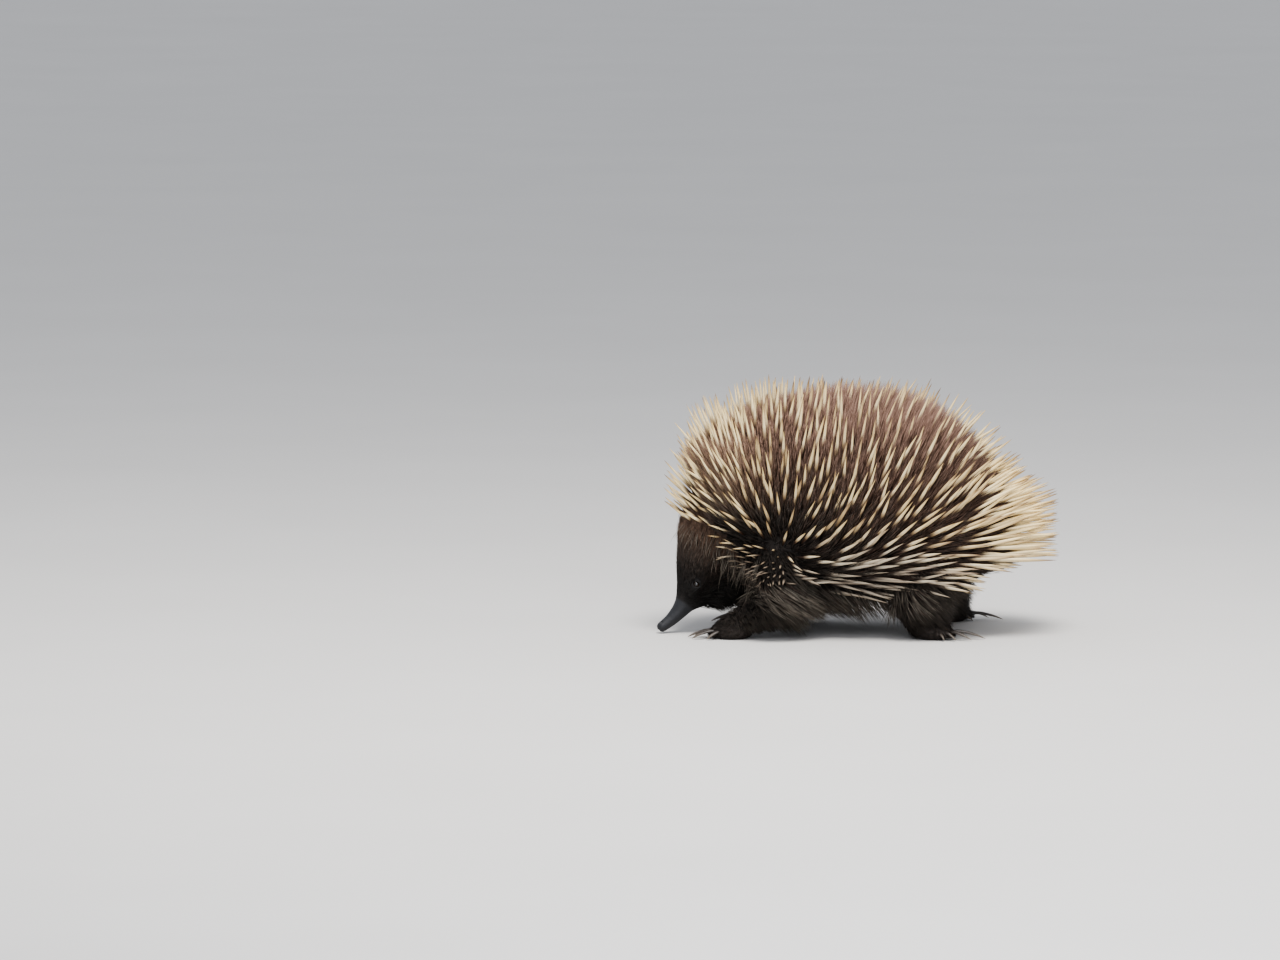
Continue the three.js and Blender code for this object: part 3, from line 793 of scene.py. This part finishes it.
def unwrap_head(P, Z):
    k = (Z["t"] * 240).astype(int).clip(2, 238)
    T = unit(HEAD_FINE[k + 2] - HEAD_FINE[k - 2])
    brow = unit(np.cross(HEAD_SIDE, T))
    q = P - HEAD_FINE[k]
    return np.stack([np.arctan2(q @ HEAD_SIDE, dot(q, brow)) / (2 * math.pi) + 0.5, np.clip((Z["t"] - 0.36) / 0.6, 0, 1)], 1)


def unwrap_legs(P, Z):
    uv = np.zeros((len(P), 2))
    names = list(LEGS)
    which = np.argmax([Z[n] + Z["foot_" + n] for n in names], 0)
    for i, name in enumerate(names):
        m = which == i
        bone = leg_bones[name]
        g = np.linalg.norm(P[m][:, None, :2] - bone[None, :, :2], axis=2) + np.abs(P[m][:, None, 2] - bone[None, :, 2])
        q = P[m] - bone[g.argmin(1)]
        u = np.arctan2(q[:, 0], q[:, 1]) / (2 * math.pi) + 0.5
        v = np.clip(P[m][:, 2] / 95, 0, 1)
        uv[m] = np.stack([(i % 2) * 0.5 + u * 0.49, (i // 2) * 0.5 + v * 0.49], 1)
    return uv


def fitted(uv):
    low, high = uv.min(0), uv.max(0)
    return 0.005 + 0.99 * (uv - low) / np.maximum(high - low, 1e-6)


# ------------------------------------------------------------------ spines
def spine_sizes(P, N, Z):
    """Spacing, length, greatest lean from the normal and thickness."""
    x, y, z = P.T
    whorl = step(4, 66, Z["whorl"])
    front, rear = step(-88, -128, y), step(66, 108, y)
    top = step(0.45, 0.85, N[:, 2])
    low = step(92, 60, z)
    high_rear = rear * step(105, 150, z)
    furry = step(0.25, 0.75, N[:, 2]) * step(-70, -10, y) * step(116, 84, y)      # where the fur all but hides them
    crest = step(0.6, 0.9, N[:, 2]) * step(20, -30, y)
    gap = 10.3 - 2.9 * front * step(90, 130, z) * (1 - 0.6 * crest) + 0.7 * crest - 3.0 * rear * (1 - 0.85 * step(135, 180, z)) - 2.7 * low * (1 - rear) - 3.6 * (1 - whorl) + 3.4 * furry
    length = 52.0 - 9 * front * step(0.55, 0.9, N[:, 2]) - 2 * front + 18 * rear + 6 * rear * step(64, 78, z) * step(140, 120, z) - 19 * high_rear + 12 * low * (1 - rear) + 4 * furry
    length *= 0.60 + 0.40 * np.maximum(step(108, 142, z), step(-130, -112, y))      # shortest over the forehead
    length = np.where(whorl < 1, 15 + (length - 15) * whorl, length)
    lean = (58 - 4 * top + 18 * low - 6 * rear - 4 * front) * (0.45 + 0.55 * step(0, 42, Z["whorl"]))
    thick = 1.84 - 0.36 * front + 0.08 * rear - 0.10 * low - 0.85 * (1 - whorl) - 0.10 * furry
    return gap, length, lean, thick


def spined(P, N, Z):
    """Where spines grow: behind their edge on the face, down to the flank's fringe, not below it or on the lower legs."""
    x, y, z = P.T
    low = 47 + 28 * step(80, 124, y) + 3 * step(-92, -112, y)
    under = step(-0.90, -0.78, N[:, 2])
    under = under * (1 - step(0.3, 0.6, Z["leg"]) * step(62, 54, z))
    return step(4.0, -4.5, Z["face"]) * under * (z > low) * (np.abs(x) > 6 * step(60, 40, z)) * (1 - np.clip(Z["foot"], 0, 1))


gap, *_ = spine_sizes(TRI_C, TRI_N, TRI_Z)
has_spines = spined(TRI_C, TRI_N, TRI_Z)
P, N = scatter(60000, has_spines / gap**2)
Z = zones(P)
gap, length, lean, thick = spine_sizes(P, N, Z)
chosen, places = [], np.zeros((0, 3))
for i in range(len(P)):
    if len(chosen):
        q = places[:len(chosen)] - P[i]
        if (q * q).sum(1).min() < (gap[i] * 0.90) ** 2:
            continue
    if len(chosen) == len(places):
        places = np.concatenate([places, np.zeros((512, 3))])
    places[len(chosen)] = P[i]
    chosen.append(i)
chosen = np.array(chosen)
P, N, length, lean, thick = P[chosen], N[chosen], length[chosen], lean[chosen], thick[chosen]
Z = zones(P)
n = len(P)
length *= rng.uniform(0.74, 1.12, n)
thick *= rng.uniform(0.80, 1.12, n)
D0 = jitter(lifted(N, way_of(P, N, Z, True), lean + rng.normal(0, 5, n)), 4.5 + 9 * step(58, 14, Z["whorl"]))
length *= inside(P, D0, length)
# under the rump the spines end further forward
tip = P + D0 * length[:, None]
room = (np.interp(tip[:, 2], [33, 42, 57, 63, 70, 77], [104, 124, 126, 142, 158, 200]) - P[:, 1]) / np.maximum(tip[:, 1] - P[:, 1], 1e-3)
room = np.where(tip[:, 1] > P[:, 1], np.clip(room, 0, 1), 1)
length *= np.maximum(room, 0.3)
keep = (D0[:, 2] > -0.42) & (P[:, 2] + D0[:, 2] * length > 33) & (room > 0.5)
P, N, D0, length, thick, Z = P[keep], N[keep], D0[keep], length[keep], thick[keep], {k: v[keep] for k, v in Z.items()}
n = len(P)
bow = unit(rng.normal(0, 1, (n, 3)))
bow = unit(bow - D0 * dot(bow, D0)[:, None]) * rng.uniform(0.0, 0.05, n)[:, None]
RINGS = 7
s = np.array([0, 0.16, 0.32, 0.46, 0.62, 0.79, 0.93, 1.0])
C = P[:, None] - N[:, None] * 1.5 + length[:, None, None] * (D0[:, None] * s[:, None] + bow[:, None] * (s * s)[:, None])
D = np.repeat(D0[:, None], RINGS + 1, 1)
shape = np.array([0.50, 0.72, 0.95, 1.0, 0.88, 0.60, 0.26])
A = thick[:, None] * shape
V, T3, ring, turn = bundle(C, D, N, A, A * 0.92, 6)
V[..., 2] = np.maximum(V[..., 2], 0.8)
rnd = rng.random(n)
# spines darker round the whorl, and painted shade where the root faces down and low on the flank
shade = 0.72 * (1 - step(8, 44, Z["whorl"])) + 0.25 * step(0.0, -0.8, N[:, 2]) + 0.52 * step(96, 58, P[:, 2]) * step(96, 46, P[:, 1])
shade = np.clip(shade, 0, 0.9)
early = 1 - 0.34 * step(66, 112, P[:, 1])      # the rump's spines are pale over more of their length
# painted sunlight: the rump's and the crown's spines brighter
pale = np.maximum(step(70, 118, P[:, 1]), step(-94, -124, P[:, 1]) * step(100, 140, P[:, 2]))
# painted shade: the low flank's spines greyer, less so towards the rump
painted_shade_grey = step(100, 66, P[:, 2]) * (1 - 0.65 * step(30, 80, P[:, 1]))
half = P[:, 0] > 0
for name, m in (("spines_left", half), ("spines_right", ~half)):
    uv = unwrap(P[m], None)
    uv[:, 0] = (uv[:, 0] - 0.5) * 2 if name == "spines_left" else uv[:, 0] * 2
    ob = write_bundle(name, V[m], T3, ring, turn, s, {"rnd": rnd[m], "shade": shade[m], "early": early[m], "pale": pale[m], "painted_shade_grey": painted_shade_grey[m]}, fitted(uv), MATERIALS["spine"])
    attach(ob, "root")
print("spines", n, "triangles", n * len(T3))


# ------------------------------------------------------------------ fur
def fur(name, count, density, sizes, unwrapped, rings=3, flat=0.6, pull=0.35, clump=9.0, root_depth=0.6, lie=None, stray=3.5):
    """Closed tapered hairs, drawn together in locks. sizes(P, N, Z) gives length, lean, half width, tone and grey."""
    P, N = scatter(count, density)
    keep = away_from_holes(P)
    P, N = P[keep], N[keep]
    Z = zones(P)
    n = len(P)
    length, lean, width, tone, grey = (np.broadcast_to(v, n).astype(float) for v in sizes(P, N, Z))
    R = way_of(P, N, Z) if lie is None else unit(lie(P, N, Z))
    length = length * rng.uniform(0.72, 1.12, n)
    wander = rng.normal(0, stray, n)
    D0 = jitter(lifted(N, R, np.maximum(lean * 0.72 + wander, 3)), stray)
    D1 = jitter(lifted(N, R, np.minimum(lean * 1.12 + wander, 89)), stray * 1.2)
    length *= inside(P, D0, length)
    s = np.linspace(0, 1, rings + 1)
    D = unit(D0[:, None] * (1 - s)[:, None] + D1[:, None] * s[:, None])
    mid = unit(D[:, 1:] + D[:, :-1])
    C = np.concatenate([np.zeros((n, 1, 3)), np.cumsum(mid, 1)], 1) * (length / rings)[:, None, None] + (P - N * root_depth)[:, None]
    # locks: hairs near one another lean together
    if pull:
        m = max(1, int(n / clump))
        tree = KDTree(m)
        for i in range(m):
            tree.insert(P[i], i)
        tree.balance()
        near = np.array([tree.find(p)[1] for p in P])
        lead = C[near] - P[near][:, None]
        towards = P[near][:, None] + lead * (length / np.maximum(length[near], 1))[:, None, None]
        C = C + (towards - C) * (pull * s**1.4)[:, None] * rng.uniform(0.5, 1.3, n)[:, None, None]
        D = np.gradient(C, axis=1)
        D = unit(D)
    C[..., 2] = np.maximum(C[..., 2], 0.9)
    C[..., 0] = np.clip(C[..., 0], CAD_LOW[0] / MM + 1, CAD_HIGH[0] / MM - 1)
    taper = np.array([0.95, 0.85]) if rings == 2 else np.array([0.75, 1.0, 0.72])
    A = width[:, None] * taper * rng.uniform(0.75, 1.25, n)[:, None]
    V, T3, ring, turn = bundle(C, D, N, A, A * flat, 3)
    rnd = rng.random(n)
    ob = write_bundle(name, V, T3, ring, turn, s, {"rnd": rnd, "tone": tone, "grey": grey}, fitted(unwrapped(P, Z)), MATERIALS["fur"])
    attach(ob, "root")
    print(name, n, "triangles", n * len(T3))
    return ob


SHARE = 1.0
body_part = TRI_Z["body"] * (TRI_Z["face"] < 4)
not_under = step(-0.75, -0.35, TRI_N[:, 2])


def coat_sizes(P, N, Z):
    x, y, z = P.T
    top = step(0.15, 0.80, N[:, 2])
    low = step(92, 55, z)
    whorl = step(6, 66, Z["whorl"])
    # how high the fur stands over the skin along the back, and on the flank
    crest = np.interp(y, [-165, -145, -118, -70, -25, 15, 55, 90, 120, 140], [12, 14, 16, 21, 28, 32, 32, 28, 24, 21])
    side = 14 + 5 * step(-80, -120, y) * step(105, 140, z)
    rise = (side + (crest - side) * top) * (1 - 0.35 * low)
    rise = np.where(whorl < 1, 4 + (rise - 4) * whorl, rise)
    lean = 62 - 20 * top + 12 * low
    # the fur of the crown is a paler, straw brown, partly its own colour and partly painted sunlight on the crown
    straw = 0.02 + 0.15 * step(-66, -110, y) * step(92, 130, z) + 0.36 * step(-98, -126, y) * step(98, 140, z)
    return rise / np.cos(np.radians(lean * 0.92)), lean, 0.40, hair_tone_light_and_shade(P, N, Z), straw


for i in range(4):
    fur(f"coat_{i + 1}", int(11200 * SHARE), body_part * not_under, coat_sizes, unwrap)


def face_sizes(P, N, Z):
    t = Z["t"]
    length = np.interp(t, [0.385, 0.43, 0.5, 0.6, 0.7, 0.85], [1.6, 2.6, 4.4, 8.5, 13.5, 17.5])
    lean = np.interp(t, [0.385, 0.5, 0.7, 0.85], [80, 77, 72, 66])
    width = np.interp(t, [0.385, 0.5, 0.85], [0.16, 0.20, 0.30])
    grey = 0.22 * step(0.55, 0.75, t)
    return length, lean, width, hair_tone_light_and_shade(P, N, Z), grey


head_part = np.clip(TRI_Z["head"] + step(-3, 3, TRI_Z["face"]) * TRI_Z["body"], 0, 1) * step(HAIR_LINE - 0.004, HAIR_LINE + 0.02, TRI_Z["t"]) * (TRI_Z["t"] < 0.9)
crowd = np.interp(TRI_Z["t"], [0.38, 0.5, 0.7, 0.9], [3.2, 2.2, 1.2, 0.8])
for i in range(2):
    fur(f"face_hair_{i + 1}", int(11000 * SHARE), head_part * crowd, face_sizes, unwrap_head, rings=2, pull=0.25, root_depth=0.3)


def throat_sizes(P, N, Z):
    return 17.0, 62, 0.34, 0.07, 0.05


fur("throat_hair", int(3800 * SHARE), TRI_Z["throat"] * (TRI_Z["t"] > 0.42), throat_sizes, unwrap_head)


def bristle_sizes(P, N, Z):
    return rng.uniform(18, 34, len(P)), 80, rng.uniform(0.26, 0.50, len(P)), 0.36, rng.uniform(0.1, 1.0, len(P))


def down_cheek(P, N, Z):
    return np.array([0, -0.10, -1.0]) + np.stack([0.25 * np.sign(P[:, 0]), 0 * P[:, 1], 0 * P[:, 2]], 1)


at_edge = np.exp(-((TRI_Z["face"] - 4.0) / 9.0) ** 2) * (np.abs(TRI_C[:, 0] - 4) > 12) * step(60, 78, TRI_C[:, 2]) * step(126, 116, TRI_C[:, 2])
fur("cheek_bristles", int(360 * SHARE), at_edge, bristle_sizes, unwrap_head, pull=0.0, lie=down_cheek, stray=10, flat=0.8)


def fringe_sizes(P, N, Z):
    fore = step(0, -35, P[:, 1])
    middle = step(-40, -10, P[:, 1]) * step(70, 30, P[:, 1])
    return 24.0 + 15 * fore + 7 * middle, 66, 0.42, 0.28, rng.uniform(0.0, 0.72, len(P)) ** 1.4


def down_back(P, N, Z):
    middle = step(-40, -10, P[:, 1]) * step(70, 30, P[:, 1])
    return np.stack([0.10 * np.sign(P[:, 0]), 0.84 - 0.25 * middle, -0.52 - 0.30 * middle], 1)


skirt = step(34, 40, TRI_C[:, 2]) * step(60, 50, TRI_C[:, 2]) * (np.abs(TRI_C[:, 0]) > 44) * step(-124, -112, TRI_C[:, 1]) * step(120, 96, TRI_C[:, 1]) * (1 - np.clip(TRI_Z["foot"], 0, 1))
skirt *= 1 + 2.0 * step(-20, -45, TRI_C[:, 1])
fur("fringe_hair", int(5600 * SHARE), skirt, fringe_sizes, unwrap, lie=down_back, stray=4, pull=0.2)


def leg_sizes(P, N, Z):
    x, y, z = P.T
    behind = step(-0.2, 0.7, N[:, 1])
    foot = np.clip(Z["foot"], 0, 1)
    fore = y < 0
    length = (10 + 22 * behind * step(10, 30, z)) * (1 - foot) + 3.6 * foot
    lean = 62 - 6 * behind + 12 * foot
    width = 0.38 * (1 - foot) + 0.20 * foot
    grey = (0.08 + 0.42 * behind * fore * rng.random(len(P))) * (1 - foot)
    return length, lean, width, hair_tone_light_and_shade(P, N, Z), grey


leg_part = TRI_Z["leg"] * (1 + 0.8 * step(40, 25, TRI_C[:, 2])) + 2.6 * TRI_Z["foot"] * step(1.5, 4.0, TRI_C[:, 2])
for name, m in (("foreleg_hair", TRI_C[:, 1] < 0), ("hindleg_hair", TRI_C[:, 1] >= 0)):
    fur(name, int(12500 * SHARE), leg_part * m, leg_sizes, unwrap_legs, rings=2)


def belly_sizes(P, N, Z):
    return 10.0, 68, 0.42, 0.20, 0.12


fur("belly_hair", int(5200 * SHARE), TRI_Z["body"] * (1 - not_under), belly_sizes, unwrap, rings=2)


# ------------------------------------------------------------------ claws
def claw(sign, foot, heading, digit, hind):
    spread, reach, long, wide, thick = digit
    path = digit_path(sign, foot, heading, spread, reach - 5, long + 4, 6.4, 1.0)
    rings, sides = 18, 14
    s = 1 - (1 - np.linspace(0, 1, rings + 1)) ** 1.25
    C = catmull(path, s)
    D = unit(np.gradient(C, axis=0))
    side = unit(np.cross(D, [0, 0, 1.0]))
    up = np.cross(side, D)
    point = 0.62 if not hind else 0.75
    swell = np.sqrt(np.clip(s / 0.10, 0.05, 1)) * np.maximum(1 - s**2.2, 0) ** point
    a = np.arange(sides) / sides * 2 * math.pi
    ca, sa = np.cos(a), np.sin(a)
    # flattened and hollow below, with a low ridge above
    w = wide * np.sign(ca) * np.abs(ca) ** 0.85
    h = np.where(sa > 0, thick * sa**0.9, -thick * 0.55 * np.abs(sa) ** 0.7 + thick * 0.30 * np.exp(-(ca / 0.45) ** 2) * (sa < 0))
    V = C[:rings, None] + swell[:rings, None, None] * (-side[:rings, None] * w[None, :, None] + up[:rings, None] * h[None, :, None])
    V = np.concatenate([V.reshape(-1, 3), C[rings:]])
    tri = []
    for r in range(rings - 1):
        for k in range(sides):
            a0, a1 = r * sides + k, r * sides + (k + 1) % sides
            tri += [(a0, a1 + sides, a1), (a0, a0 + sides, a1 + sides)]
    last = (rings - 1) * sides
    tri += [(last + k, rings * sides, last + (k + 1) % sides) for k in range(sides)]
    tri += [(0, k, k + 1) for k in range(1, sides - 1)]
    V[:, 2] = np.maximum(V[:, 2], 0.02)
    along = np.append(np.repeat(s[:rings], sides), 1.0)
    return V, np.array(tri), along


for name, (sign, joints, heading) in LEGS.items():
    pair, side = name[:4], name.split("_")[1]
    for i, digit in enumerate(DIGITS[pair]):
        V, faces, along = claw(sign, joints[3][:2], heading, digit, pair == "hind")
        # make sure the faces look outwards
        c = V.mean(0)
        nrm = np.cross(V[faces[:, 1]] - V[faces[:, 0]], V[faces[:, 2]] - V[faces[:, 0]])
        volume = (V[faces[:, 0]] * np.cross(V[faces[:, 1]], V[faces[:, 2]])).sum()
        if volume < 0:
            faces = faces[:, ::-1]
        ob = make_piece(f"horn_{pair}_{side}_{i + 1}", V, faces, MATERIALS["claw"], {"along": along, "rnd": np.full(len(V), rng.random())})
        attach(ob, "root")
        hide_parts(f"{pair}claw_{side}_{i + 1}")

# ------------------------------------------------------------------ eyes
for side, (centre, out, up, along) in eyes.items():
    around, down = 40, 28
    th = np.linspace(0, math.pi, down + 1)[1:-1]
    ph = np.arange(around) / around * 2 * math.pi
    ring_z, ring_r = np.cos(th), np.sin(th)
    # a clear bulge in front, over the pupil
    bulge = 1 + 0.05 * step(0.80, 0.95, ring_z)
    V = [centre + out * EYE_R * 1.05]
    for z0, r0, bl in zip(ring_z, ring_r, bulge):
        V += [centre + EYE_R * bl * (out * z0 + r0 * (up * math.cos(a) + along * math.sin(a))) for a in ph]
    V.append(centre - out * EYE_R)
    V = np.array(V)
    faces = [(0, 1 + k, 1 + (k + 1) % around) for k in range(around)]
    for r in range(len(th) - 1):
        for k in range(around):
            a0, a1 = 1 + r * around + k, 1 + r * around + (k + 1) % around
            faces += [(a0, a0 + around, a1 + around), (a0, a1 + around, a1)]
    last = 1 + (len(th) - 1) * around
    faces += [(last + k, len(V) - 1, last + (k + 1) % around) for k in range(around)]
    faces = np.array(faces)
    if ((V[faces[:, 0]] - centre) * np.cross(V[faces[:, 1]] - centre, V[faces[:, 2]] - centre)).sum() < 0:
        faces = faces[:, ::-1]
    angle = np.arccos(np.clip(unit(V - centre) @ out, -1, 1))
    ob = make_piece(f"eyeball_{side}", V, faces, MATERIALS["eye"], {"iris": np.clip(angle / math.radians(48), 0, 1)})
    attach(ob, "root")
    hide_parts("eye_" + side)

# ------------------------------------------------------------------ floor, light and camera
me = bpy.data.meshes.new("floor")
r = 45.0
me.from_pydata([(-r, -r, 0), (r, -r, 0), (r, r, 0), (-r, r, 0)], [], [(0, 1, 2, 3)])
floor = bpy.data.objects.new("floor", me)
bpy.context.scene.collection.objects.link(floor)
m, nodes, links, b = new_material("floor_plain")
links.new(mix(nodes, links, noise(nodes, links, 3.0, 2.0), (0.60, 0.59, 0.57), (0.64, 0.63, 0.61)), b.inputs["Base Color"])
b.inputs["Roughness"].default_value = 0.9
b.inputs["Specular IOR Level"].default_value = 0.15
me.materials.append(m)
floor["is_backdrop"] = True

world = bpy.data.worlds.new("studio")
world.use_nodes = True
world.node_tree.nodes["Background"].inputs["Color"].default_value = (0.90, 0.93, 1.0, 1)
world.node_tree.nodes["Background"].inputs["Strength"].default_value = 0.75
bpy.context.scene.world = world


def lamp(name, place, size, power, colour=(1, 1, 1), aim=(0, 0, 0.12)):
    data = bpy.data.lights.new(name, "AREA")
    data.shape, data.size, data.energy, data.color = "DISK", size, power, colour
    ob = bpy.data.objects.new(name, data)
    ob.location = place
    ob.rotation_mode = "QUATERNION"
    ob.rotation_quaternion = (Vector(aim) - Vector(place)).to_track_quat("-Z", "Y")
    bpy.context.scene.collection.objects.link(ob)


lamp("key", (0.9, 0.1, 2.4), 1.2, 80, (1.0, 0.97, 0.94))
lamp("fill", (2.5, 0.2, 1.0), 1.6, 22, (0.96, 0.97, 1.0))

camera = bpy.data.cameras.new("camera")
camera.sensor_width, camera.lens = 36.0, 36 * 9 / 1.28
camera.clip_start, camera.clip_end = 0.1, 200
ob = bpy.data.objects.new("camera", camera)
bpy.context.scene.collection.objects.link(ob)
e = math.radians(6)
back, right, up = Vector((math.cos(e), 0, math.sin(e))), Vector((0, 1, 0)), Vector((-math.sin(e), 0, math.cos(e)))
ob.location = back * 9 - right * 0.219 + up * 0.150
ob.rotation_mode = "QUATERNION"
ob.rotation_quaternion = (-back).to_track_quat("-Z", "Y")
bpy.context.scene.camera = ob
bpy.context.scene.view_settings.view_transform = "AgX"
bpy.context.scene.view_settings.look = "AgX - Medium High Contrast"

print("skin triangles", len(SKIN_T))
